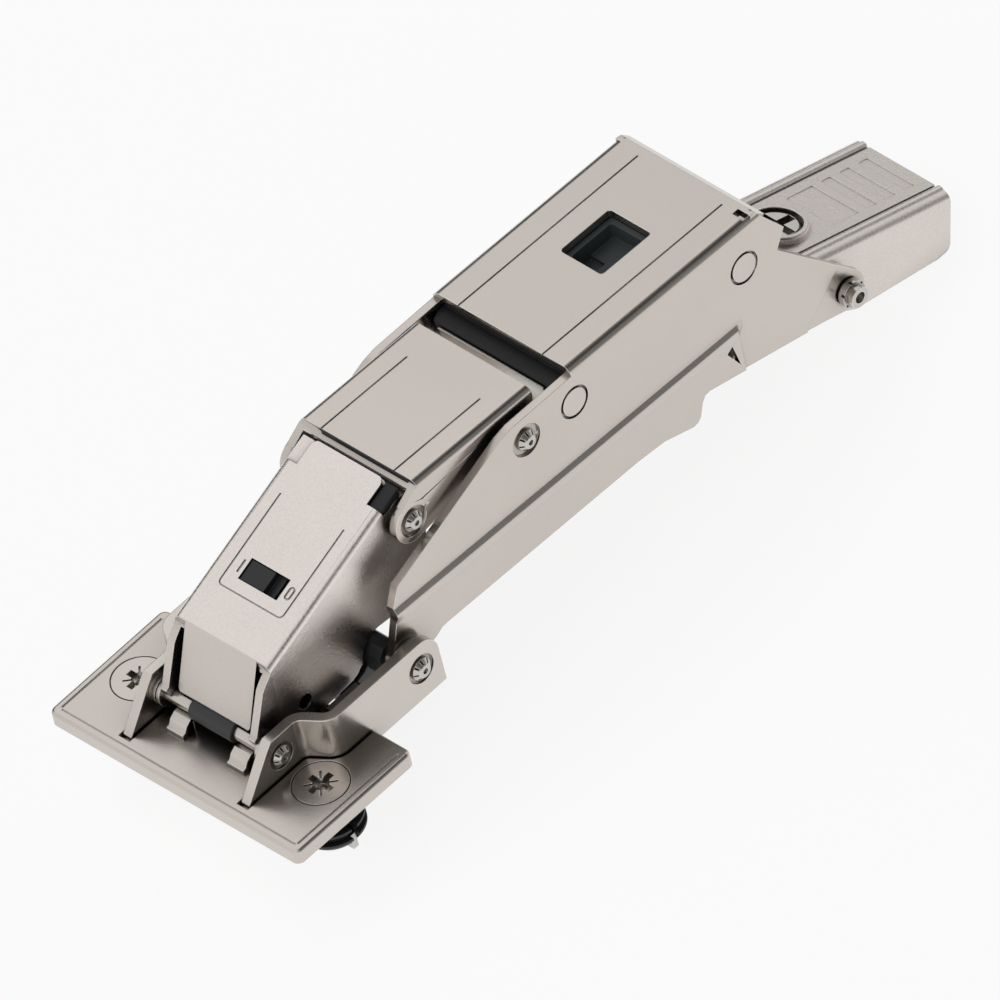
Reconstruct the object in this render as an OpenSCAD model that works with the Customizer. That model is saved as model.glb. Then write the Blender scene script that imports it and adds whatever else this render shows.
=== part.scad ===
// Sprung folding hinge for a thin door, shown fully open.
// X runs across, Y from the plate's front edge to the arm's tail, Z up from the door.

/* [Pivots] */
// front pin, along Y
front_y = -1.26; // [-5:0.01:5]
// front pin, height
front_z = 5.46; // [3:0.01:10]
// rear pin, along Y
rear_y = 20.03; // [15:0.01:25]
// rear pin, height
rear_z = 4.80; // [3:0.01:10]
// elbow pin, along Y
elbow_y = 28.18; // [24:0.01:34]
// elbow pin, height
elbow_z = 21.74; // [18:0.01:26]
// arm pin, along Y
arm_y = 46.77; // [42:0.01:52]
// arm pin, height
arm_z = 21.14; // [18:0.01:26]
// tail pivot, along Y
tail_y = 100.3; // [95:0.1:106]
// tail pivot, height
tail_z = 0.9; // [-2:0.1:4]
// depth screw, along the tail
cam_y = -21.1; // [-24:0.1:-18]
// radius of the four linkage pins
pin_r = 1.2; // [1:0.05:1.5]
// running clearance on a pin's radius
run = 0.05; // [0.02:0.01:0.1]

/* [Door plate] */
// half the spacing of the two dowels
dowel_x = 16; // [10:0.5:24]
// radius over the dowels' barbs
barb_r = 4.6; // [4:0.05:5]
// half the width of the plate
plate_half = 22; // [18:0.1:26]
// front edge of the plate
plate_front = -10.7; // [-14:0.1:-8]
// rear edge of the plate
plate_rear = 10.6; // [8:0.1:14]
// height of the plate
plate_top = 2.2; // [1.5:0.1:3]
// thickness of the plate's top
plate_skin = 0.7; // [0.5:0.1:1]
// corner radius of the plate
plate_corner = 1.1; // [0.8:0.1:3]

/* [Sheet metal] */
// half width over the front lever
front_half = 8.4; // [6:0.1:9]
// half width over the middle lever
middle_half = 10.3; // [9:0.1:11]
// half width over the arm
arm_half = 12.2; // [11:0.1:14]
// half width over the release lever
tail_half = 8.6; // [7:0.1:10]
// thickness of the levers and the arm
sheet = 1.2; // [0.8:0.1:1.6]
// thickness of the bracket
bracket_sheet = 1.5; // [1:0.1:2]
// middle radius of the bracket's bends
bend_r = 2.1; // [1.5:0.1:3]

/* [Hidden] */
$fn = 96;
p1 = [front_y, front_z];
p2 = [rear_y, rear_z];
p3 = [elbow_y, elbow_z];
p5 = [arm_y, arm_z];
pt = [tail_y, tail_z];
r1 = [55.36, 20.53];
r2 = [85.73, 18.09];

steel = [0.77, 0.74, 0.71];
zinc = [0.72, 0.71, 0.70];
black = [0.10, 0.10, 0.11];
grey = [0.28, 0.30, 0.31];

// drawing in Y and Z carried across X
module side(x0, x1) {
  translate([x0, 0, 0]) rotate([90, 0, 90]) linear_extrude(x1 - x0) children();
}

// round bar across X
module across(p, r, x0, x1) {
  translate([x0, p[0], p[1]]) rotate([0, 90, 0]) cylinder(r = r, h = x1 - x0);
}

// the same on both sides
module both() {
  children();
  mirror([1, 0, 0]) children();
}

// drawing in X and Z carried along Y
module along(y0, y1) {
  translate([0, y1, 0]) rotate([90, 0, 0]) linear_extrude(y1 - y0) children();
}

module on_front() {
  translate([0, 2.2, 16.65]) rotate([21.15, 0, 0]) children();
}

module on_nose() {
  translate([0, 2.2, 16.65]) rotate([67.9, 0, 0]) children();
}

module on_middle() {
  translate([0, 30.6, 27.05]) rotate([-2.5, 0, 0]) children();
}

module on_arm() {
  translate([0, 55.9, 26.0]) rotate([-2.5, 0, 0]) children();
}

module on_tail() {
  translate([0, 120.6, -2.1]) rotate([-19.05, 0, 0]) children();
}

// point just inside a circle where a line from e runs onto it
function touch(c, r, e, s) =
  c + 0.98 * r * [cos(atan2(e[1] - c[1], e[0] - c[0]) + s * acos(r / norm(e - c))),
                  sin(atan2(e[1] - c[1], e[0] - c[0]) + s * acos(r / norm(e - c)))];

// points along a bend
function bend(c, r, a0, a1) =
  [for (i = [0:8]) c + r * [cos(a0 + (a1 - a0) * i / 8), sin(a0 + (a1 - a0) * i / 8)]];

module round_rect(x0, x1, y0, y1, r) {
  translate([x0 + r, y0]) square([x1 - x0 - 2 * r, y1 - y0]);
  translate([x0, y0 + r]) square([x1 - x0, y1 - y0 - 2 * r]);
  for (x = [x0 + r, x1 - r], y = [y0 + r, y1 - r]) translate([x, y]) circle(r = r);
}

module thin_frame(x0, x1, y0, y1, r, w) {
  difference() {
    round_rect(x0, x1, y0, y1, r);
    round_rect(x0 + w, x1 - w, y0 + w, y1 - w, r - w);
  }
}

// channel section, top at 0
module bent_top(half, r, depth) {
  translate([-half + r, -depth]) square([2 * half - 2 * r, depth]);
  translate([-half, -depth]) square([2 * half, depth - r]);
  for (s = [-1, 1]) translate([s * (half - r), -r]) circle(r = r);
}

module channel(half, t, r, depth) {
  difference() {
    bent_top(half, r, depth);
    translate([-half + t, -depth - 1]) square([2 * half - 2 * t, depth + 1 - t]);
  }
}

// notched end of a pin standing out along +X
module staked_end(p, x, r, h) {
  difference() {
    translate([x, p[0], p[1]]) rotate([0, 90, 0]) rotate_extrude()
      polygon([[0, 0], [r, 0], [r, 0.45], [r * 0.56, h], [0, h]]);
    across(p, r * 0.26, x + h - 0.25, x + h + 1);
    for (a = [0:45:315])
      translate([x + 0.42, p[0], p[1]]) rotate([a, 0, 0]) translate([0, -0.13, r * 0.66])
        cube([h, 0.26, r]);
  }
}

module pin(p, half, r, end_r, h) {
  across(p, r, -half - 0.01, half + 0.01);
  both() staked_end(p, half, end_r, h);
}

module washer(p, x0, x1, r, bore) {
  difference() {
    across(p, r, x0, x1);
    across(p, bore, x0 - 1, x1 + 1);
  }
}

/* Door plate */

// plate with its upper edge rounded
module plate_solid() {
  c = plate_corner;
  translate([0, 0, plate_top]) along(plate_front + c, plate_rear - c)
    bent_top(plate_half, 0.5, plate_top);
  mid = (plate_front + plate_rear) / 2;
  translate([0, mid, plate_top]) rotate([0, 0, 90]) along(-plate_half + c, plate_half - c)
    bent_top((plate_rear - plate_front) / 2, 0.5, plate_top);
  for (x = [-plate_half + c, plate_half - c], y = [plate_front + c, plate_rear - c])
    translate([x, y, 0]) rotate_extrude() {
      square([c - 0.5, plate_top]);
      square([c, plate_top - 0.5]);
      translate([c - 0.5, plate_top - 0.5]) intersection() {
        circle(r = 0.5);
        square([1, 1]);
      }
    }
}

// side arm of the bracket, seen from above
module arm_plan(c) {
  half = bracket_sheet / 2 + c;
  turn = 59;
  c1 = [10.45 + bend_r, 2.6 - bend_r * tan(turn / 2)];
  c2 = [14.45 - bend_r, 5.0 + bend_r * tan(turn / 2)];
  polygon(concat(
    [[10.45 + half, -8.4 - c]], bend(c1, bend_r - half, 180, 180 - turn),
    bend(c2, bend_r + half, -turn, 0), [[14.45 + half, 25]], [[14.45 - half, 25]],
    bend(c2, bend_r - half, 0, -turn), bend(c1, bend_r + half, 180 - turn, 180),
    [[10.45 - half, -8.4 - c]]
  ));
}

module fixing_plate() {
  color(steel) difference() {
    plate_solid();
    translate([0, 0, -1]) linear_extrude(1 + plate_top - plate_skin)
      round_rect(-20.9, 20.9, -9.6, 9.5, 1);
    both() translate([0, 0, -1]) linear_extrude(5) arm_plan(0.22);
    both() translate([dowel_x, 0, 0]) cylinder(r = 3.85, h = 5);
    // pressed lines near the front edge and the ends
    translate([-20.6, plate_front + 1.15, plate_top - 0.12]) cube([41.2, 0.22, 1]);
    both() translate([20.75, plate_front + 1.5, plate_top - 0.12]) cube([0.22, 18.3, 1]);
  }
}

module bracket_side() {
  difference() {
    union() {
      polygon([
        [-8.15, 0], [-8, 2.2], [-3.35, 7.97], [-2.5, 8.85], [20.4, 8.85], [23.4, 5.85],
        [23.4, 0.1], [11.6, 0.1], [11.2, 0.5], [10.7, 0.5], [10.3, 0]
      ]);
      translate([20.4, 5.85]) circle(r = 3);
    }
    translate([10.95, 0.3]) circle(r = 0.42);
  }
}

module pivot_bracket() {
  color(steel) difference() {
    union() {
      translate([-20.5, -9.2, 0]) cube([41, 18.3, plate_top - plate_skin]);
      intersection() {
        union() both() linear_extrude(12) arm_plan(0);
        side(-20, 20) bracket_side();
      }
    }
    both() translate([dowel_x, 0, -1]) cylinder(r = 3.0, h = 5);
    both() translate([dowel_x, 0, -1]) cylinder(r = barb_r + 0.15, h = 1.3);
    across(p1, pin_r, -20, 20);
    across(p2, pin_r, -20, 20);
    both() across(p1, 1.97, 10.8, 12);
    both() across(p2, 2.13, 14.8, 16);
  }
}

module dowel() {
  difference() {
    rotate_extrude() polygon([
      [1.5, -6.0], [3.9, -6.0], [barb_r, -5.1], [barb_r, -4.7], [3.65, -4.7], [3.65, -4.4],
      [barb_r, -3.5], [barb_r, -3.1], [3.65, -3.1], [3.65, -2.8], [barb_r, -1.9],
      [barb_r, -1.5], [3.65, -1.5], [3.65, 0.28], [2.98, 0.28], [2.98, 1.45], [2.72, 1.45],
      [1.5, 0.3]
    ]);
    translate([-6, -0.55, -7]) cube([12, 1.1, 5.6]);
    translate([0, 0, -6.5]) cylinder(r1 = 3.05, r2 = 1.5, h = 4.1);
  }
}

module dowel_wedge() {
  difference() {
    union() {
      translate([0, 0, -7.2]) cylinder(r = 2.7, h = 0.7);
      translate([0, 0, -6.51]) cylinder(r1 = 2.7, r2 = 1.46, h = 3.2);
      translate([-3.9, -0.45, -7.2]) cube([7.8, 0.9, 2.4]);
    }
    translate([0, 0, -8]) cylinder(r = 1.05, h = 6);
  }
}

module dowel_screw() {
  difference() {
    union() {
      translate([0, 0, 1.52]) cylinder(r = 3.7, h = 0.66);
      translate([0, 0, -6.9]) cylinder(r = 1.0, h = 8.5);
      translate([0, 0, 0.32]) cylinder(r1 = 1.2, r2 = 2.4, h = 1.21);
    }
    for (a = [0, 90]) translate([0, 0, 1.3]) rotate([0, 0, a])
      translate([-1.95, -0.48, 0]) cube([3.9, 0.96, 2]);
    for (a = [45, 135]) translate([0, 0, 1.9]) rotate([0, 0, a])
      translate([-2.2, -0.14, 0]) cube([4.4, 0.28, 2]);
    translate([0, 0, 0.8]) cylinder(r1 = 0.5, r2 = 1.2, h = 1.5);
  }
}

module dowel_left() {
  color(black) translate([-dowel_x, 0, 0]) dowel();
}

module dowel_right() {
  color(black) translate([dowel_x, 0, 0]) dowel();
}

module dowel_wedge_left() {
  color(zinc) translate([-dowel_x, 0, 0]) dowel_wedge();
}

module dowel_wedge_right() {
  color(zinc) translate([dowel_x, 0, 0]) dowel_wedge();
}

module dowel_screw_left() {
  color(steel) translate([-dowel_x, 0, 0]) dowel_screw();
}

module dowel_screw_right() {
  color(steel) translate([dowel_x, 0, 0]) dowel_screw();
}

module front_pin() {
  color(zinc) pin(p1, 10.8, pin_r, 1.5, 1.1);
}

module front_washers() {
  color(zinc) both() difference() {
    across(p1, 2.1, 8.45, 9.7);
    across(p1, pin_r, 8, 10);
    translate([9.0, p1[0], p1[1]]) rotate([0, 90, 0]) difference() {
      cylinder(r = 3, h = 0.2);
      translate([0, 0, -1]) cylinder(r = 1.8, h = 3);
    }
  }
}

// two folded feet standing in front of the pin
module pin_cradle() {
  color(steel) both() difference() {
    side(3.9, 6.8) polygon([
      [-4.5, 2.2], [-3.7, 2.2], [-3.1, 3.4], [-2.35, 3.75], [-2.35, 2.2], [-1.2, 2.2],
      [-1.2, 2.9], [-1.75, 2.9], [-1.75, 4.35], [-2.7, 4.2], [-3.6, 3.6], [-4.0, 2.9], [-4.5, 2.75]
    ]);
    across(p1, 1.4, 3, 8);
  }
}

module rear_pin() {
  color(zinc) pin(p2, 14.8, pin_r, 1.6, 1.1);
}

// stop for the front lever when the hinge is open
module rear_sleeve() {
  color(black) difference() {
    union() {
      side(-10.8, 10.8) polygon([
        [17.2, 3.4], [17.2, 6.1], [18.2, 7.4], [20.0, 7.4], [21.6, 4.9], [21.4, 3.4], [19.6, 2.2]
      ]);
      side(-8.2, 8.2) polygon([
        [12.6, 0.3], [12.6, 1.9], [14.4, 2.6], [16.4, 3.2], [17.6, 4.2], [20.0, 3.4],
        [21.2, 3.2], [21.2, 0.9], [20, 0.3]
      ]);
    }
    across(p2, pin_r, -12, 12);
  }
}

module rear_washers() {
  color(zinc) both() difference() {
    union() {
      across(p2, 3.3, 12.65, 13.1);
      across(p2, 2.2, 13.05, 13.7);
    }
    across(p2, pin_r, 12, 15);
  }
}

// upright strips beside the front lever
module plate_tongue() {
  color(steel) both() side(9.2, 10.7) {
    union() {
      polygon([[8.2, 2.2], [10.9, 2.2], [12.6, 2.6], [13.7, 2.9], [13.7, 4.3], [8.6, 4.3]]);
      translate([13.7, 3.6]) circle(r = 0.7);
    }
  }
}

/* Front lever */

module front_wall() {
  e = [14.2, 3.75];
  difference() {
    union() {
      translate(p1) circle(r = 2.6);
      translate(p3) circle(r = 3.0);
      polygon([
        [-3.7, 6.35], [-2.4, 7.6], [0.3, 13.6], [1.0, 14.4], [2.2, 15.5], [2.2, 18],
        [23.85, 28], [24.77, 25.38], [25.25, 24.1], [28.9, 24.65], [31.1, 22.3], p3,
        [31.4, 19.3], [30.7, 14.8], [28.0, 10.4],
        [24.2, 8.1], [16.0, 4.8], [15.2, 4.1], e, touch(p1, 2.6, e, -1), p1
      ]);
    }
    translate(p2) circle(r = 3.62);
    polygon([p2, [26, 3], [26, 7.6], [23.3, 8.1], [20, 8.42]]);
  }
}

module front_lever() {
  color(steel) difference() {
    union() {
      intersection() {
        on_front() along(-8, 34) channel(front_half, sheet, 1.0, 26);
        side(-9, 9) front_wall();
      }
      on_front() translate([0, 24.1, -sheet]) linear_extrude(sheet)
        round_rect(-6.2, 6.2, -1, 4, 1.0);
      intersection() {
        on_nose() translate([0, 0, -sheet]) linear_extrude(sheet)
          round_rect(-6.3, 6.3, -10.38, 1.5, 0.9);
        side(-7, 7) polygon([[-20, 0], [3.4, 0], [3.4, 16], [2.2, 16.66], [-20, 25]]);
      }
    }
    across(p1, pin_r + run, -12, 12);
    across(p3, pin_r + run, -12, 12);
    across(p1, 1.8, -6.6, 6.6);
    across([6.35, 6.9], 1.1, -12, 12);
    // slot for the switch, its marks and the pressed outline
    on_front() {
      translate([-3.45, 7.95, -3]) cube([6.8, 3.15, 4]);
      translate([-4.28, 8.6, -0.15]) cube([0.28, 1.9, 1]);
      translate([0, 0, -0.15]) linear_extrude(1) thin_frame(3.95, 4.95, 8.6, 10.5, 0.48, 0.26);
      intersection() {
        translate([0, 0, -0.13]) linear_extrude(1) thin_frame(-5.7, 5.7, 6.1, 30, 0.8, 0.2);
        translate([-8, 0, -1]) cube([16, 20, 2]);
      }
    }
  }
}

module front_sleeve() {
  color(black) washer(p1, -3.7, 3.7, 1.7, pin_r + run);
}

module damper_body() {
  color(black) difference() {
    union() {
      side(-7.1, 7.1) polygon([
        [1.4, 11.0], [3.3, 15.4], [23.6, 23.3], [24.6, 22.2], [24.4, 18.5], [22.6, 10.4],
        [15.4, 5.2], [14.0, 4.5], [4.6, 4.1], [1.5, 4.3], [1.5, 6.6], [0.4, 7.9]
      ]);
      // lugs that fill the lever's rear corners
      both() side(6.35, 7.05) polygon([
        [23.2, 22.4], [23.55, 23.2], [25.3, 24.15], [25.6, 25.0], [26.2, 25.0], [26.2, 24.6],
        [25.55, 24.0], [24.4, 22.2]
      ]);
      both() side(6.35, 8.3) polygon([[25.35, 24.38], [28.5, 24.9], [28.5, 26.25], [24.98, 25.0]]);
    }
    on_front() translate([-8, 6.4, -3.6]) cube([16, 6.2, 4]);
    across(p2, 3.8, -12, 12);
    across([6.35, 6.9], 0.6, -12, 12);
  }
}

module switch_slider() {
  color(black) on_front() {
    translate([-3.35, 8.05, -1.4]) cube([4.1, 2.95, 1.15]);
    translate([-4.6, 7.2, -2.2]) cube([6.6, 4.6, 0.9]);
  }
}

/* Middle lever */

module elbow_pin() {
  color(zinc) pin(p3, 9.9, pin_r, 1.5, 1.05);
}

module elbow_washers() {
  color(zinc) both() washer(p3, 8.45, 9.1, 2.1, pin_r);
}

module elbow_sleeve() {
  color(black) washer(p3, -7.1, 7.1, 3.0, pin_r);
}

module middle_wall() {
  e = [30.0, 26.4];
  f = [37.5, 19.6];
  polygon([
    e, [30.0, 29], [50.7, 29], [50.7, 24.6], touch(p5, 3.2, [50.7, 24.6], -1), p5,
    touch(p5, 3.2, f, 1), f, touch(p3, 3.1, f, -1), p3, touch(p3, 3.1, e, 1)
  ]);
}

module middle_lever() {
  color(steel) difference() {
    union() {
      intersection() {
        on_middle() along(-8, 24) channel(middle_half, sheet, 1.1, 16);
        side(-11, 11) middle_wall();
      }
      both() across(p3, 3.1, middle_half - sheet + 0.05, middle_half);
      both() across(p5, 3.2, middle_half - sheet + 0.05, middle_half);
    }
    across(p3, pin_r, -12, 12);
    both() across(p3, 2.25, 9.9, 12);
    across(p5, pin_r + 0.8, -12, 12);
    // pressed lines
    both() on_middle() translate([6.35, -1, -0.13]) cube([0.2, 16, 1]);
  }
}

/* Arm */

module arm_section() {
  difference() {
    union() {
      bent_top(arm_half, 1.3, 13.9);
      polygon([
        [-arm_half, -13.8], [arm_half, -13.8], [arm_half, -14.1], [arm_half + 0.4, -14.8],
        [arm_half + 0.4, -32], [-arm_half - 0.4, -32], [-arm_half - 0.4, -14.8], [-arm_half, -14.1]
      ]);
    }
    polygon([
      [-11, -sheet], [11, -sheet], [11, -14.5], [11.4, -15.2], [11.4, -33], [-11.4, -33],
      [-11.4, -15.2], [-11, -14.5]
    ]);
  }
}

module arm_wall() {
  difference() {
    union() {
      translate(p2) circle(r = 2.9);
      translate(pt) circle(r = 2.9);
      polygon([
        [17.9, 6.4], [18.8, 8.6], [20.2, 12.2], [20.3, 13.5], [21.75, 16.4], [42.85, 24.5],
        [45, 24.9], [55.3, 24.75], [55.85, 24.75], [55.85, 28], [88.0, 28], [89.82, 24.45],
        [91.2, 22], [93.2, 19], [91.3, 16.4], [99.7, 6.1], touch(pt, 2.9, [99.7, 6.1], -1), pt,
        [99.6, -1.9], [92.5, 0.2], [75.4, 4.9], [74.6, 4.75], [74.0, 4.1], [73.2, 2.3],
        [72.6, 1.75], [71.8, 1.6], [66.8, 3.3], [62, 3.8], [28, 5.15], [26.6, 5.1],
        [25.2, 4.4], [22.6, 3.8], p2
      ]);
    }
    // punched mark below the step
    polygon([[80.6, 8.5], [79.5, 7.9], [81.2, 4.6]]);
  }
}

module hinge_arm() {
  color(steel) difference() {
    union() {
      intersection() {
        on_arm() along(-42, 26.8) arm_section();
        side(-13, 13) arm_wall();
      }
      intersection() {
        on_arm() along(26.7, 52) channel(arm_half, sheet, 1.3, 32);
        side(-13, 13) arm_wall();
      }
      // lip along the rear edge
      on_arm() side(-11.9, 11.9) polygon([
        [33.6, 0], [34.0, -0.1], [35.2, -1.25], [34.4, -2.1], [33.6, -1.3], [33.0, -1.2], [33.0, 0]
      ]);
    }
    across(p2, pin_r + run, -16, 16);
    across(p5, pin_r, -16, 16);
    both() across(p5, 2.4, 11.8, 14);
    for (p = [r1, r2]) {
      across(p, 1.5, -16, 16);
      both() across(p, 2.4, 11.7, 14);
    }
    across(pt, 1.5, -16, 16);
    // corner relief, window and pressed lines
    on_arm() translate([9.7, 32.0, -3]) cube([1.8, 1.1, 4]);
    on_arm() translate([0, 0, -3]) linear_extrude(5) round_rect(-3.7, 3.7, 14.5, 23.5, 0.5);
    both() on_arm() translate([7.35, -1, -0.14]) cube([0.2, 33.5, 1]);
    // the end is set back a little
    both() side(11.95, 14) polygon([[99.65, 6.03], [92.7, 0.84], [92.0, -4], [106, -4], [106, 6]]);
  }
}

module arm_pin() {
  color(zinc) pin(p5, 11.8, pin_r, 1.5, 1.15);
}

module arm_washers() {
  color(zinc) both() washer(p5, 10.35, 11.0, 2.4, pin_r);
}

module rivet(p) {
  across(p, 1.5, -11.9, 11.9);
  both() across(p, 2.0, 11.7, 12.2);
}

module front_rivet() {
  color(zinc) rivet(r1);
}

module rear_rivet() {
  color(zinc) rivet(r2);
}

module arm_housing() {
  color(black) difference() {
    intersection() {
      side(-10.9, 10.9) polygon([
        [53.9, 23.75], [56.2, 23.7], [56.6, 24.6], [87.2, 23.3], [87.2, 11.8], [60, 12.9],
        [54.4, 13.2], [52.8, 15.0], [52.8, 23.0]
      ]);
      union() {
        translate([-10.9, 55.9, 0]) cube([21.8, 40, 40]);
        translate([0, 56.5, 0]) linear_extrude(40)
          polygon([[-10.9, 1], [10.9, 1], [10.9, -1.4], [9.6, -4.4], [-9.6, -4.4], [-10.9, -1.4]]);
      }
    }
    across(p5, 7.2, -12, 12);
    across(r1, 1.5, -12, 12);
    across(r2, 1.5, -12, 12);
    on_arm() translate([-3.7, 14.4, -4.5]) cube([7.4, 9.2, 5]);
  }
}

// dark pocket seen through the window
module window_insert() {
  color(grey) on_arm() difference() {
    translate([-3.65, 14.5, -4.5]) cube([7.3, 9.0, 3.2]);
    translate([0, 0, -3.6]) linear_extrude(4) round_rect(-2.9, 2.9, 15.3, 22.7, 0.5);
    translate([-2.9, 15.3, -4.2]) cube([2.6, 3.2, 2]);
  }
}

module spring_plate() {
  color(steel) difference() {
    side(-9.3, 9.3) difference() {
      translate(p5) circle(r = 7.1);
      translate(p5) circle(r = 6.7);
      translate([30, 10]) square([20, 24]);
      translate([45, 23.15]) square([20, 10]);
      translate([45, 8]) square([20, 9.5]);
    }
  }
}

module clip_frame() {
  color(steel) difference() {
    intersection() {
      on_arm() translate([0, 0, -13.6]) along(3, 40) channel(10.8, 1.2, 0.9, 14);
      side(-11, 11) polygon([
        [60, 30], [60, 5.2], [64.4, 4.6], [64.4, 8.2], [67.6, 8.2], [67.6, 4.2], [71.8, 2.6],
        [73.8, 5.4], [75.4, 6.0], [92.2, 1.4], [93.2, 2.6], [93.2, 30]
      ]);
    }
    across([79.2, 8.6], 1.0, -12, 12);
    across([88.3, 6.6], 1.0, -12, 12);
  }
}

module hook_pin() {
  color(zinc) {
    across([79.2, 8.6], 1.0, -11.2, 11.2);
    both() across([79.2, 8.6], 1.6, 10.8, 11.05);
  }
}

module tail_studs() {
  color(zinc) both() difference() {
    union() {
      across(pt, 1.5, 7.0, 12.3);
      across(pt, 1.9, 12.2, 13.2);
      across(pt, 1.45, 13.1, 14.2);
      across(pt, 2.2, 6.6, 7.4);
    }
    across(pt, 0.8, 13.4, 15);
    for (a = [0:60:300])
      translate([12.6, pt[0], pt[1]]) rotate([a, 0, 0]) translate([0, -0.2, 1.6]) cube([1, 0.4, 1]);
  }
}

module tail_spacers() {
  color(zinc) both() washer(pt, 8.65, 11.0, 2.3, 1.5);
}

/* Release lever */

module tail_section() {
  difference() {
    union() {
      bent_top(tail_half, 1.3, 22);
      for (s = [-1, 1]) translate([s * 6.75, -0.25]) circle(r = 0.62);
    }
    translate([-tail_half + 1.1, -23]) square([2 * tail_half - 2.2, 21.9]);
    for (s = [-1, 1]) translate([s * 5.95 - 0.2, -0.25]) square([0.4, 1]);
  }
}

module tail_wall() {
  difference() {
    union() {
      polygon([
        [92.6, 12], [121.75, 2], [121.8, -2.3], [119.75, -9.6], [118.6, -10.5], [117.3, -10.5],
        [103.2, -7.1], [101.5, -6.0], [98.5, -5.0], [96.3, -4.0], [95.4, -2.6], [95.9, -1.2],
        [94.4, 0.2], [93.4, 2.4], [92.6, 4.6]
      ]);
      translate([118.6, -9.3]) circle(r = 1.2);
    }
    translate([91.0, -1.6]) square([3.6, 1]);
  }
}

module release_lever() {
  color(steel) difference() {
    union() {
      intersection() {
        on_tail() along(-32, 4) tail_section();
        side(-9, 9) tail_wall();
      }
      on_tail() translate([0, cam_y, -1.1]) cylinder(r = 4.1, h = 1.85);
      on_tail() translate([0, cam_y, -1.1]) cylinder(r = 3.85, h = 2.1);
    }
    across(pt, 1.5 + run, -10, 10);
    on_tail() translate([0, cam_y, -3]) cylinder(r = 3.4, h = 6);
    on_tail() for (y = [[-2.6, -0.8], [-5.9, -4.1], [-9.2, -7.4], [-15.3, -10.6]])
      translate([0, 0, -0.12]) linear_extrude(1) round_rect(-4.15, 4.15, y[0], y[1], 0.3);
  }
}

module depth_cam_screw() {
  color(zinc) on_tail() translate([0, cam_y, 0]) difference() {
    union() {
      translate([0, 0, -1.2]) cylinder(r = 3.35, h = 1.1);
      translate([0, 0, -1.2]) cylinder(r = 2.85, h = 1.8);
      translate([0, 0, -1.95]) cylinder(r = 4.5, h = 0.8);
      translate([0, 0, -5.0]) cylinder(r = 2.0, h = 3.5);
    }
    for (a = [0, 90]) rotate([0, 0, a]) translate([-2.75, -0.65, -0.9]) cube([5.5, 1.3, 3]);
  }
}

fixing_plate();
pivot_bracket();
dowel_left();
dowel_right();
dowel_wedge_left();
dowel_wedge_right();
dowel_screw_left();
dowel_screw_right();
front_pin();
front_washers();
pin_cradle();
rear_pin();
rear_sleeve();
rear_washers();
plate_tongue();
front_lever();
front_sleeve();
damper_body();
switch_slider();
elbow_pin();
elbow_washers();
elbow_sleeve();
middle_lever();
hinge_arm();
arm_pin();
arm_washers();
front_rivet();
rear_rivet();
arm_housing();
window_insert();
spring_plate();
clip_frame();
hook_pin();
tail_studs();
tail_spacers();
release_lever();
depth_cam_screw();
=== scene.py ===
import math
import bmesh
import bpy
from mathutils import Matrix, Vector


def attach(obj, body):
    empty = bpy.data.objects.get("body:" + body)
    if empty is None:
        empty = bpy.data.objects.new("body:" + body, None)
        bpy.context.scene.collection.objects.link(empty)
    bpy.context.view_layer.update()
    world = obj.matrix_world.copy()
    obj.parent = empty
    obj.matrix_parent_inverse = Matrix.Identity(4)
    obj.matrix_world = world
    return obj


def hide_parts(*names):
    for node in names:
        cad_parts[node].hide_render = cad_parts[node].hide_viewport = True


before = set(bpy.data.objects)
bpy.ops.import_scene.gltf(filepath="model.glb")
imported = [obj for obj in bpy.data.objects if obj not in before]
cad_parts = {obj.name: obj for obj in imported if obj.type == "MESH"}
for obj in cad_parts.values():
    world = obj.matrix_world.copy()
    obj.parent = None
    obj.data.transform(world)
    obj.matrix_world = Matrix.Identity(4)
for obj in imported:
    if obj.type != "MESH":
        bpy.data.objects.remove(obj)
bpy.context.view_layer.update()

# The fixing plate is one pressed pan of nickel plated sheet steel with a rolled rim.
# Two dowels fix it flat on the door, and it carries everything else.
# Like all the sheets it is tumbled before plating, which breaks its cut edges.


def new_group(name, inputs, outputs):
    """An empty node group with its sockets, its entry and its exit."""
    group = bpy.data.node_groups.new(name, "ShaderNodeTree")
    for label, kind, value in inputs:
        socket = group.interface.new_socket(label, in_out="INPUT", socket_type=kind)
        if value is not None:
            socket.default_value = value
    for label, kind in outputs:
        group.interface.new_socket(label, in_out="OUTPUT", socket_type=kind)
    enter = group.nodes.new("NodeGroupInput")
    leave = group.nodes.new("NodeGroupOutput")
    return group, enter, leave


def add_math(tree, operation, *values):
    """One sum on numbers or sockets; gives the socket of its result."""
    node = tree.nodes.new("ShaderNodeMath")
    node.operation = operation
    for slot_index, value in enumerate(values):
        if isinstance(value, (int, float)):
            node.inputs[slot_index].default_value = value
        else:
            tree.links.new(value, node.inputs[slot_index])
    return node.outputs[0]


def mix_colors(tree, factor, first, second):
    """A blend of two colours or colour sockets; gives the socket of its result."""
    node = tree.nodes.new("ShaderNodeMix")
    node.data_type = "RGBA"
    for index, value in ((0, factor), (6, first), (7, second)):
        if isinstance(value, (int, float)):
            node.inputs[index].default_value = value
        elif isinstance(value, tuple):
            node.inputs[index].default_value = (*value, 1.0)
        else:
            tree.links.new(value, node.inputs[index])
    return node.outputs[2]


def shaded(color, factor):
    """The same colour darker or lighter, never past white."""
    return tuple(min(1.0, part * factor) for part in color)


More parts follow.
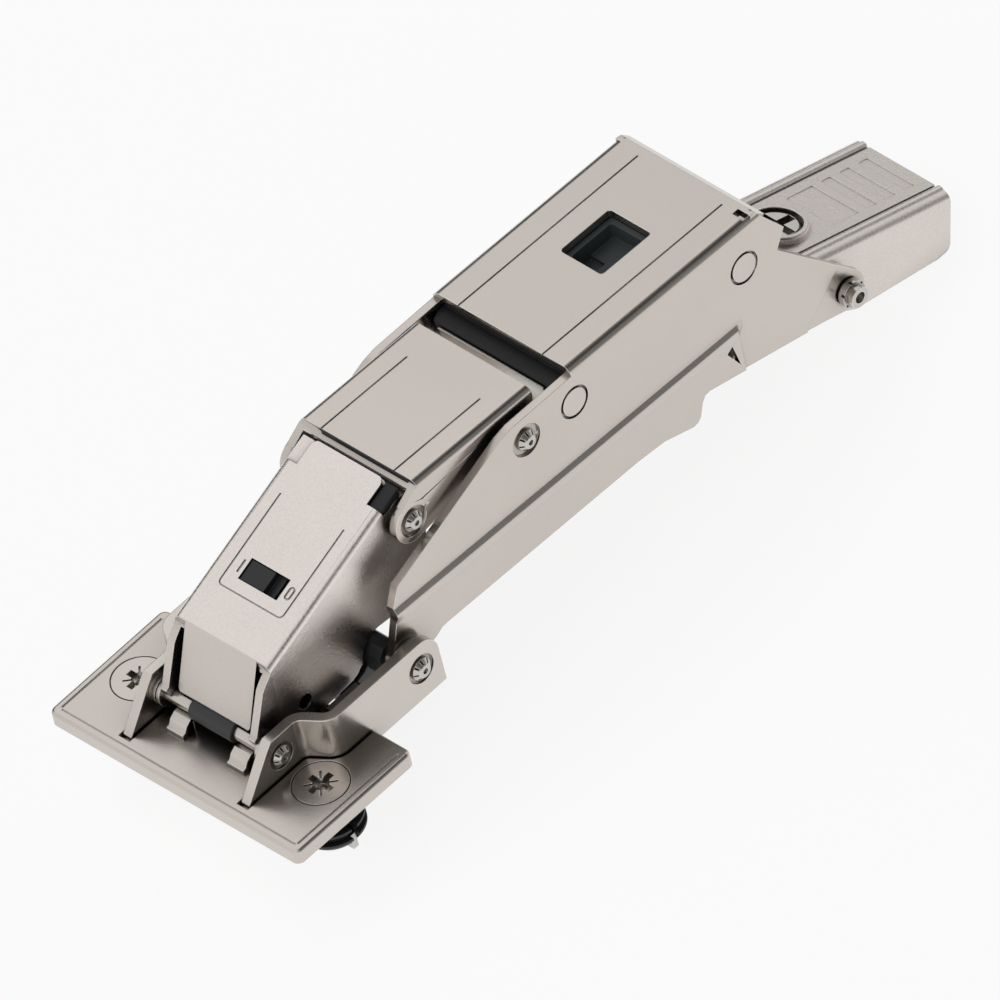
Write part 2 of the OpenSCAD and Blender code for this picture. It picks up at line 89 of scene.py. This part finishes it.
def make_rolled_grain():
    """Fine pits and a slow mottle, as plated sheet has."""
    group, enter, leave = new_group(
        "rolled_grain",
        [("Vector", "NodeSocketVector", None), ("Fine Scale", "NodeSocketFloat", 2600.0),
         ("Slow Scale", "NodeSocketFloat", 120.0)],
        [("Fine", "NodeSocketFloat"), ("Slow", "NodeSocketFloat")])
    for label, detail, roughness in (("Fine", 3.0, 0.6), ("Slow", 4.0, 0.55)):
        noise = group.nodes.new("ShaderNodeTexNoise")
        noise.inputs["Detail"].default_value = detail
        noise.inputs["Roughness"].default_value = roughness
        group.links.new(enter.outputs["Vector"], noise.inputs["Vector"])
        group.links.new(enter.outputs[label + " Scale"], noise.inputs["Scale"])
        group.links.new(noise.outputs["Fac"], leave.inputs[label])
    return group


def make_edge_highlight():
    """Rounds the look of a cut edge and masks it for a painted highlight."""
    still_flat, full_highlight = 0.995, 0.86  # cosines between the rounded and the real surface
    group, enter, leave = new_group(
        "edge_highlight", [("Width", "NodeSocketFloat", 0.00015)],
        [("Normal", "NodeSocketVector"), ("Edge", "NodeSocketFloat")])
    bevel = group.nodes.new("ShaderNodeBevel")
    bevel.samples = 4
    geometry = group.nodes.new("ShaderNodeNewGeometry")
    dot = group.nodes.new("ShaderNodeVectorMath")
    dot.operation = "DOT_PRODUCT"
    spread = group.nodes.new("ShaderNodeMapRange")
    spread.inputs["From Min"].default_value = still_flat
    spread.inputs["From Max"].default_value = full_highlight
    link = group.links.new
    link(enter.outputs["Width"], bevel.inputs["Radius"])
    link(bevel.outputs["Normal"], dot.inputs[0])
    link(geometry.outputs["Normal"], dot.inputs[1])
    link(dot.outputs["Value"], spread.inputs["Value"])
    link(bevel.outputs["Normal"], leave.inputs["Normal"])
    link(spread.outputs["Result"], leave.inputs["Edge"])
    return group


def make_painted_shade():
    """Masks tight corners and the wider ground beside upright walls, where painted shade goes.
    """
    tight_reach = 0.0006
    group, enter, leave = new_group(
        "painted_shade", [("Reach", "NodeSocketFloat", 0.004)],
        [("Tight", "NodeSocketFloat"), ("Wide", "NodeSocketFloat")])
    for label in ("Tight", "Wide"):
        open_sky = group.nodes.new("ShaderNodeAmbientOcclusion")
        open_sky.samples = 3
        if label == "Tight":
            open_sky.inputs["Distance"].default_value = tight_reach
        else:
            group.links.new(enter.outputs["Reach"], open_sky.inputs["Distance"])
        covered = add_math(group, "SUBTRACT", 1.0, open_sky.outputs["AO"])
        group.links.new(covered, leave.inputs[label])
    return group


rolled_grain = make_rolled_grain()
edge_highlight = make_edge_highlight()
painted_shade = make_painted_shade()


def place_group(tree, group, **values):
    """A node group in a material, with its own values; names take a space for each _."""
    node = tree.nodes.new("ShaderNodeGroup")
    node.node_tree = group
    for label, value in values.items():
        node.inputs[label.replace("_", " ")].default_value = value
    return node


def add_relief(tree, shader, grain_node, edge_node, strength, height):
    """Grain as a bump on top of the rounded look of the edges."""
    bump = tree.nodes.new("ShaderNodeBump")
    bump.inputs["Strength"].default_value = strength
    bump.inputs["Distance"].default_value = height
    tree.links.new(grain_node.outputs["Fine"], bump.inputs["Height"])
    tree.links.new(edge_node.outputs["Normal"], bump.inputs["Normal"])
    tree.links.new(bump.outputs["Normal"], shader.inputs["Normal"])


def metal(name, color, rough, grain=0.15, fine_scale=2600.0, slow_scale=120.0,
          edge_width=0.00015, mottle=0.12, speck=0.06, shade_strength=(0.9, 0.5), reach=0.004,
          plain_before=None):
    """Plated metal: rolled grain in colour, roughness and bump, painted highlights on the
    edges, and painted shade.

    The shade strengths are how strongly the painted shade shows in tight corners and beside
    walls, reach is how far it spreads from a wall, and plain_before is a Y and the colour in
    front of it.
    """
    highlight_color, shade_color = (0.86, 0.84, 0.82), (0.045, 0.040, 0.036)
    fleck_share, rough_spread, edge_polish, grain_height = 0.45, 0.14, 0.12, 0.00006
    material = bpy.data.materials.new(name)
    material.use_nodes = True
    tree = material.node_tree
    shader = tree.nodes["Principled BSDF"]
    shader.inputs["Metallic"].default_value = 1.0
    shader.inputs["Specular IOR Level"].default_value = 0.5
    place = tree.nodes.new("ShaderNodeTexCoord").outputs["Object"]
    grain_node = place_group(tree, rolled_grain, Fine_Scale=fine_scale, Slow_Scale=slow_scale)
    edge_node = place_group(tree, edge_highlight, Width=edge_width)
    shade_node = place_group(tree, painted_shade, Reach=reach)
    tree.links.new(place, grain_node.inputs["Vector"])
    base = mix_colors(tree, grain_node.outputs["Slow"],
                      shaded(color, 1 - mottle), shaded(color, 1 + mottle))
    fleck = mix_colors(tree, grain_node.outputs["Fine"],
                       shaded(color, 1 - speck), shaded(color, 1 + speck))
    base = mix_colors(tree, fleck_share, base, fleck)
    if plain_before:
        limit, plain_color = plain_before
        axes = tree.nodes.new("ShaderNodeSeparateXYZ")
        tree.links.new(place, axes.inputs["Vector"])
        grained = add_math(tree, "GREATER_THAN", axes.outputs["Y"], limit)
        base = mix_colors(tree, grained, plain_color, base)
    # Painted highlight: the edges' colour is lifted to near white.
    base = mix_colors(tree, edge_node.outputs["Edge"], base, highlight_color)
    # Painted shade: a near black colour laid over the base where the masks find corners and
    # walls.
    for label, strength in zip(("Tight", "Wide"), shade_strength):
        cover = add_math(tree, "MULTIPLY", shade_node.outputs[label], strength)
        base = mix_colors(tree, cover, base, shade_color)
    tree.links.new(base, shader.inputs["Base Color"])
    uneven = add_math(tree, "MULTIPLY_ADD", grain_node.outputs["Slow"], rough_spread,
                      rough - rough_spread / 2)
    smooth = add_math(tree, "MULTIPLY", edge_node.outputs["Edge"], edge_polish)
    tree.links.new(add_math(tree, "SUBTRACT", uneven, smooth), shader.inputs["Roughness"])
    add_relief(tree, shader, grain_node, edge_node, grain, grain_height)
    return material


def take_up(piece):
    """Makes a piece the only one that the operators work on."""
    bpy.ops.object.select_all(action="DESELECT")
    bpy.context.view_layer.objects.active = piece
    piece.select_set(True)


def apply_modifier(piece, kind, **settings):
    modifier = piece.modifiers.new(kind.lower(), kind)
    for label, value in settings.items():
        setattr(modifier, label, value)
    bpy.ops.object.modifier_apply(modifier=modifier.name)


def own_copy(node, name, material):
    """A copy of a CAD mesh with its loose triangles merged, left open in edit mode."""
    piece = bpy.data.objects.new(name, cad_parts[node].data.copy())
    bpy.context.scene.collection.objects.link(piece)
    take_up(piece)
    piece.data.materials.clear()
    piece.data.materials.append(material)
    bpy.ops.object.mode_set(mode="EDIT")
    bpy.ops.mesh.select_all(action="SELECT")
    bpy.ops.mesh.remove_doubles(threshold=0.000002)
    return piece


def broken_edges(node, body, material, width, press=None):
    """The sheet that stands in for a CAD node, with its cut edges broken."""
    flat_angle, cut_angle, bend_angle = (math.radians(angle) for angle in (0.4, 40, 24))
    sliver = 0.000004
    piece = own_copy(node, node + "_sheet", material)
    bpy.ops.mesh.dissolve_limited(angle_limit=flat_angle)
    bpy.ops.mesh.normals_make_consistent(inside=False)
    if press:
        press(piece)
    bpy.ops.object.mode_set(mode="OBJECT")
    apply_modifier(piece, "BEVEL", width=width, segments=2, limit_method="ANGLE",
                   angle_limit=cut_angle)
    bpy.ops.object.mode_set(mode="EDIT")
    bpy.ops.mesh.select_all(action="SELECT")
    bpy.ops.mesh.remove_doubles(threshold=sliver)
    bpy.ops.mesh.dissolve_degenerate(threshold=sliver)
    bpy.ops.object.mode_set(mode="OBJECT")
    bpy.ops.object.shade_smooth_by_angle(angle=bend_angle)
    apply_modifier(piece, "WEIGHTED_NORMAL", weight=100, keep_sharp=True)
    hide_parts(node)
    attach(piece, body)


# The plate takes painted shade beside the bracket, and it reaches further than on the other
# sheets.
plate_steel = metal("plate_nickel", (0.58, 0.535, 0.495), 0.24, grain=0.10, slow_scale=60.0,
                    shade_strength=(0.9, 0.62), reach=0.007)
broken_edges("fixing_plate", "door_plate", plate_steel, 0.00012)

# The bracket is folded from thicker nickel plated sheet and slotted through the plate.
# Two small folded feet and two strips of the same sheet stand beside the front lever.


def finish_node(name, material):
    """The CAD solid keeps its mesh and gets the finish of its own piece."""
    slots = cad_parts[name].data.materials
    slots.clear()
    slots.append(material)


bracket_steel = metal("bracket_nickel", (0.61, 0.565, 0.525), 0.23, grain=0.10, slow_scale=90.0)
broken_edges("pivot_bracket", "door_plate", bracket_steel, 0.00016)
for name in ("pin_cradle", "plate_tongue"):
    finish_node(name, bracket_steel)

# Two black moulded dowels are pressed through the plate into the door.
# A cast zinc cone in each is drawn up by a plated steel screw and spreads its barbs.


def moulded(name, color, rough=0.55, grain=0.25):
    """Moulded plastic: spark-eroded texture, with a painted highlight on its edges."""
    fine_scale, slow_scale = 1800.0, 90.0
    rough_spread, grain_height = 0.2, 0.00008
    plastic_highlight_color = tuple(min(1.0, part * 2.0 + 0.01) for part in color)
    material = bpy.data.materials.new(name)
    material.use_nodes = True
    tree = material.node_tree
    shader = tree.nodes["Principled BSDF"]
    place = tree.nodes.new("ShaderNodeTexCoord").outputs["Object"]
    grain_node = place_group(tree, rolled_grain, Fine_Scale=fine_scale, Slow_Scale=slow_scale)
    edge_node = place_group(tree, edge_highlight)
    tree.links.new(place, grain_node.inputs["Vector"])
    base = mix_colors(tree, grain_node.outputs["Slow"], shaded(color, 0.75), shaded(color, 1.3))
    # Painted highlight: the edges' colour is lifted to about twice the plastic's.
    base = mix_colors(tree, edge_node.outputs["Edge"], base, plastic_highlight_color)
    tree.links.new(base, shader.inputs["Base Color"])
    uneven = add_math(tree, "MULTIPLY_ADD", grain_node.outputs["Slow"], rough_spread,
                      rough - rough_spread / 2)
    tree.links.new(uneven, shader.inputs["Roughness"])
    add_relief(tree, shader, grain_node, edge_node, grain, grain_height)
    return material


dowel_plastic = moulded("dowel_black", (0.012, 0.012, 0.013), rough=0.5)
wedge_zinc = metal("wedge_zinc", (0.55, 0.54, 0.53), 0.28, grain=0.2, slow_scale=400.0)
screw_steel = metal("screw_nickel", (0.60, 0.56, 0.52), 0.26, grain=0.12, slow_scale=350.0,
                    edge_width=0.0001)
for side in ("left", "right"):
    finish_node(f"dowel_{side}", dowel_plastic)
    finish_node(f"dowel_wedge_{side}", wedge_zinc)
    finish_node(f"dowel_screw_{side}", screw_steel)

# The two plate pins are turned from bright steel and staked in the bracket.
# Zinc plated rings keep the levers off the bracket, and black sleeves quieten both pins.
# The pins take full strength painted shade in the recesses round their ends.
pin_steel = metal("pin_bright", (0.56, 0.53, 0.50), 0.22, grain=0.08, slow_scale=500.0,
                  edge_width=0.0001, mottle=0.08, shade_strength=(1.0, 0.3), reach=0.0015)
ring_zinc = metal("ring_zinc", (0.60, 0.57, 0.54), 0.24, grain=0.1, slow_scale=400.0)
sleeve_black = moulded("sleeve_black", (0.02, 0.02, 0.022), rough=0.42, grain=0.1)
for name in ("front_pin", "rear_pin"):
    finish_node(name, pin_steel)
for name in ("front_washers", "rear_washers"):
    finish_node(name, ring_zinc)
finish_node("rear_sleeve", sleeve_black)

# The front lever is folded from nickel plated sheet whose top has a fine sandy grain.
# Its plain nose bends down steeply and wraps the front pin, which runs in a black sleeve.
lever_nickel = (0.585, 0.54, 0.50)
nose_end = 0.0023
# Its painted shade is at full strength and reaches far: a painted dark reflection of the arm's
# inside on its walls.
front_steel = metal("front_lever_nickel", (0.80, 0.74, 0.70), 0.28, grain=0.6,
                    fine_scale=3000.0, slow_scale=160.0, speck=0.26, shade_strength=(1.0, 1.0),
                    reach=0.011, plain_before=(nose_end, lever_nickel))
broken_edges("front_lever", "front_link", front_steel, 0.00014)
finish_node("front_sleeve", sleeve_black)

# The damper is a closed black moulding riveted inside the front lever.
# Its right lug shows in the lever's rear corner, and a tab of the lever fills the left one.
# Its soft-close switch slides across in a slot of the lever's top.
damper_black = moulded("damper_black", (0.009, 0.009, 0.010))
switch_black = moulded("switch_black", (0.016, 0.016, 0.017), rough=0.45)


def box_piece(name, low, high, material=None, edge=0.0):
    """A block between two corners, with its edges rounded where edge is given."""
    bpy.ops.object.select_all(action="DESELECT")
    bpy.ops.mesh.primitive_cube_add(size=1.0)
    piece = bpy.context.object
    piece.name = name
    piece.data.name = name
    middle = [(a + b) / 2 for a, b in zip(low, high)]
    size = [b - a for a, b in zip(low, high)]
    piece.data.transform(Matrix.Translation(middle) @ Matrix.Diagonal((*size, 1.0)))
    if edge:
        apply_modifier(piece, "BEVEL", width=edge, segments=3)
        bpy.ops.object.shade_smooth_by_angle(angle=math.radians(35))
    if material:
        piece.data.materials.append(material)
    return piece


lever_corner = Matrix.Translation((0.0, 0.0241, 0.02275))
lever_slope = Matrix.Rotation(math.radians(-47.7), 4, "X")
damper = own_copy("damper_body", "damper_body_piece", damper_black)
bpy.ops.object.mode_set(mode="OBJECT")
corner_tab = own_copy("damper_body", "corner_tab", front_steel)
bpy.ops.object.mode_set(mode="OBJECT")
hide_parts("damper_body")
lug_cutter = box_piece("lug_cutter", (-0.0092, -0.0035, 0.00006), (-0.0063, 0.0040, 0.0060))
lug_cutter.data.transform(lever_corner @ lever_slope)
for piece, operation, slot in ((damper, "DIFFERENCE", "black_plastic"),
                               (corner_tab, "INTERSECT", "grained_steel")):
    take_up(piece)
    apply_modifier(piece, "BOOLEAN", object=lug_cutter, operation=operation, solver="EXACT")
    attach(piece, "front_link")
bpy.data.objects.remove(lug_cutter)
finish_node("switch_slider", switch_black)

# The middle lever is a folded nickel plated channel that turns on the elbow pin.
# The pin is staked in its walls, with rings towards the front lever and a black sleeve.
# Two thin black strips lie across its front edge: they stand for the damper's black plastic
# there and for painted shade on that edge.
middle_steel = metal("middle_lever_nickel", lever_nickel, 0.23, grain=0.12, slow_scale=70.0)
broken_edges("middle_lever", "middle_link", middle_steel, 0.00014)
strip_left, strip_right = -0.0064, 0.0088
strip_face, strip_back = 0.02982, 0.02999
for name, low, high in (("upper", 0.02660, 0.02704), ("lower", 0.02596, 0.02646)):
    dark_strip = box_piece(f"elbow_dark_strip_{name}", (strip_left, strip_face, low),
                     (strip_right, strip_back, high), sleeve_black, edge=0.00004)
    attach(dark_strip, "middle_link")
finish_node("elbow_pin", pin_steel)
finish_node("elbow_washers", ring_zinc)
finish_node("elbow_sleeve", sleeve_black)

# The arm is the longest folded sheet, nickel plated, from the rear pin to the tail.
# A step pressed along both of its walls stiffens it.
# Its pin and two flush rivets hold the middle lever and the parts inside.
arm_steel = metal("arm_nickel", lever_nickel, 0.23, grain=0.12, slow_scale=60.0)
rivet_steel = metal("rivet_nickel", (0.60, 0.55, 0.51), 0.3, grain=0.1, slow_scale=300.0)


def press_step(piece):
    """The step along both walls: a steep flank, then a gentle return to the wall."""
    up = Vector((0.0, 0.04366, 0.99905))  # square to the step, which climbs to the rear
    flank_top, flank_foot, settled = 0.01450, 0.01352, 0.0124  # heights along up
    upper_wall, lower_wall, proud = 0.0122, 0.0126, 0.00073  # half widths, and the flank's rise
    skin_inner, skin_outer = 0.0119, 0.0127
    step_end, wall_cut = 0.0826, 0.0832
    long_edge, slight_fold, steep_fold = 0.03, 0.2, 1.2
    fold_radius = 0.00024

    def on_skin(corner):
        return skin_inner < abs(corner.co.x) < skin_outer

    for level in (flank_top, flank_foot, settled):
        bpy.ops.mesh.select_all(action="SELECT")
        bpy.ops.mesh.bisect(plane_co=up * level, plane_no=up)
    # The wall behind the step stays flat, so it is cut off from the step's strip.
    sheet = bmesh.from_edit_mesh(piece.data)
    bpy.ops.mesh.select_mode(type="FACE")
    bpy.ops.mesh.select_all(action="DESELECT")
    for face in sheet.faces:
        height = face.calc_center_median().dot(up)
        face.select_set(all(map(on_skin, face.verts)) and settled < height < flank_top)
    bmesh.update_edit_mesh(piece.data)
    bpy.ops.mesh.bisect(plane_co=(0.0, wall_cut, 0.0), plane_no=(0.0, 1.0, 0.0))
    sheet = bmesh.from_edit_mesh(piece.data)
    for corner in sheet.verts:
        height = corner.co.dot(up)
        if on_skin(corner) and settled < height < flank_top and corner.co.y < step_end:
            if height > flank_foot:
                down_flank = (flank_top - height) / (flank_top - flank_foot)
                half_width = upper_wall + proud * down_flank
            else:
                up_return = (height - settled) / (flank_foot - settled)
                half_width = lower_wall + (upper_wall + proud - lower_wall) * up_return
            corner.co.x = math.copysign(half_width, corner.co.x)
    bpy.ops.mesh.select_mode(type="EDGE")
    bpy.ops.mesh.select_all(action="DESELECT")
    for edge in sheet.edges:
        folded = (len(edge.link_faces) == 2 and edge.calc_length() > long_edge
                  and slight_fold < edge.calc_face_angle(0.0) < steep_fold)
        edge.select_set(folded and all(abs(corner.co.x) > skin_inner for corner in edge.verts))
    sheet.select_flush_mode()
    bmesh.update_edit_mesh(piece.data)
    bpy.ops.mesh.bevel(offset=fold_radius, segments=4, affect="EDGES")


broken_edges("hinge_arm", "arm", arm_steel, 0.00014, press=press_step)
finish_node("arm_pin", pin_steel)
finish_node("arm_washers", ring_zinc)
for name in ("front_rivet", "rear_rivet"):
    finish_node(name, rivet_steel)

# The closing spring sits in a black moulded housing inside the arm, behind a thin steel edge.
# A dark grey moulded pocket lines the window in the arm's top.
housing_black = moulded("housing_black", (0.010, 0.010, 0.011))
pocket_grey = moulded("pocket_grey", (0.05, 0.06, 0.062), rough=0.6)
edge_steel = metal("spring_edge_nickel", (0.55, 0.51, 0.47), 0.3)
finish_node("arm_housing", housing_black)
finish_node("window_insert", pocket_grey)
finish_node("spring_plate", edge_steel)

# An inner frame of folded nickel plated sheet sits in the arm.
# It and its turned steel hook pin clip to the cabinet's mounting plate.
clip_steel = metal("clip_nickel", (0.50, 0.46, 0.43), 0.38, slow_scale=90.0)
finish_node("clip_frame", clip_steel)
finish_node("hook_pin", pin_steel)

# The release lever at the tail is folded plated sheet and turns on two turned studs with rings.
# Its grained top has pressed finger marks, and a drawn collar round the depth screw.
tail_steel = metal("tail_nickel", (0.68, 0.63, 0.59), 0.27, grain=0.45, fine_scale=3000.0,
                   slow_scale=140.0, speck=0.24, shade_strength=(0.8, 0.25))
finish_node("tail_studs", pin_steel)
finish_node("tail_spacers", ring_zinc)
broken_edges("release_lever", "tail", tail_steel, 0.00012)

# The depth screw is a turned zinc disc with a cross recess.
# The release lever's collar holds it, and it turns to shift the arm.
cam_zinc = metal("cam_zinc", (0.62, 0.60, 0.57), 0.24, grain=0.1, slow_scale=300.0)
finish_node("depth_cam_screw", cam_zinc)

# The studio is a pale floor that takes the shadow, and an even white surround.
# Dark flags in the surround are what the bends mirror, and two soft lamps add the shine.
# The camera has no perspective, as in the photograph.
to_right = Vector((0.7071, 0.6829, -0.1836))
to_top = Vector((-0.40825, 0.6063, 0.6825))
to_camera = Vector((0.5774, -0.4076, 0.7075)).normalized()
look_at = Vector((0.0, 0.0, 0.0022)) + 0.03369 * to_right + 0.02884 * to_top
view_width = 0.125
camera_distance = 1.0

camera_data = bpy.data.cameras.new("studio_camera")
camera_data.type = "ORTHO"
camera_data.ortho_scale = view_width
camera = bpy.data.objects.new("studio_camera", camera_data)
bpy.context.scene.collection.objects.link(camera)
turn_matrix = Matrix((to_right, to_top, to_camera)).transposed().to_4x4()
camera.matrix_world = Matrix.Translation(look_at + to_camera * camera_distance) @ turn_matrix
bpy.context.scene.camera = camera

floor_size = 6.0
floor_height = -0.0106
floor_grey = 0.16
floor_glow = 0.86
white = (1.0, 1.0, 1.0, 1.0)
bpy.ops.object.select_all(action="DESELECT")
bpy.ops.mesh.primitive_plane_add(size=floor_size, location=(0.0, 0.0, floor_height))
floor = bpy.context.object
floor.name = "pale_floor"
floor.data.transform(floor.matrix_world)
floor.matrix_world = Matrix.Identity(4)
floor_paint = bpy.data.materials.new("floor_pale")
floor_paint.use_nodes = True
floor_shader = floor_paint.node_tree.nodes["Principled BSDF"]
floor_shader.inputs["Base Color"].default_value = (floor_grey, floor_grey, floor_grey, 1.0)
floor_shader.inputs["Roughness"].default_value = 1.0
floor_shader.inputs["Specular IOR Level"].default_value = 0.0
floor_shader.inputs["Emission Color"].default_value = white
floor_shader.inputs["Emission Strength"].default_value = floor_glow
floor.data.materials.append(floor_paint)

surround_level = 0.90
world = bpy.data.worlds.new("studio_world")
bpy.context.scene.world = world
world.use_nodes = True
sky = world.node_tree
background = sky.nodes["Background"]
background.inputs["Color"].default_value = white
direction = sky.nodes.new("ShaderNodeTexCoord")


def dark_flag(aim, edge, core, level):
    """A dark card round one direction, level inside core degrees and gone past edge degrees."""
    flag = sky.nodes.new("ShaderNodeVectorMath")
    flag.operation = "DOT_PRODUCT"
    flag.inputs[1].default_value = Vector(aim).normalized()
    sky.links.new(direction.outputs["Generated"], flag.inputs[0])
    lobe = sky.nodes.new("ShaderNodeMapRange")
    lobe.interpolation_type = "SMOOTHSTEP"
    lobe.inputs["From Min"].default_value = math.cos(math.radians(edge))
    lobe.inputs["From Max"].default_value = math.cos(math.radians(core))
    lobe.inputs["To Min"].default_value = 1.0
    lobe.inputs["To Max"].default_value = level
    sky.links.new(flag.outputs["Value"], lobe.inputs["Value"])
    return lobe.outputs["Result"]


flags = dark_flag((0.70, 0.41, 0.58), 45, 20, 0.25)
for card in (((0.16, 0.40, 0.90), 30, 14, 0.12), ((-0.95, 0.25, 0.17), 36, 24, 0.08),
             ((-0.58, 0.82, 0.02), 15, 6, 0.2), ((0.80, -0.22, 0.55), 22, 8, 0.2)):
    flags = add_math(sky, "MULTIPLY", flags, dark_flag(*card))
rays = sky.nodes.new("ShaderNodeLightPath")
lit = add_math(sky, "MULTIPLY", flags, surround_level)
seen = add_math(sky, "MAXIMUM", lit, rays.outputs["Is Camera Ray"])
sky.links.new(seen, background.inputs["Strength"])


def soft_lamp(name, place, aim, size, watts):
    """A round soft box at one place, turned towards another."""
    lamp = bpy.data.lights.new(name, "AREA")
    lamp.shape = "DISK"
    lamp.size = size
    lamp.energy = watts
    lamp_object = bpy.data.objects.new(name, lamp)
    bpy.context.scene.collection.objects.link(lamp_object)
    facing = (Vector(aim) - Vector(place)).to_track_quat("-Z", "Y").to_matrix().to_4x4()
    lamp_object.matrix_world = Matrix.Translation(Vector(place)) @ facing


soft_lamp("lamp_over", (-0.35, 0.25, 0.55), (0.0, 0.05, 0.01), 0.35, 0.06)
soft_lamp("lamp_front", (0.30, -0.55, 0.45), (0.0, 0.03, 0.01), 0.30, 0.04)

bpy.context.scene.view_settings.view_transform = "Standard"
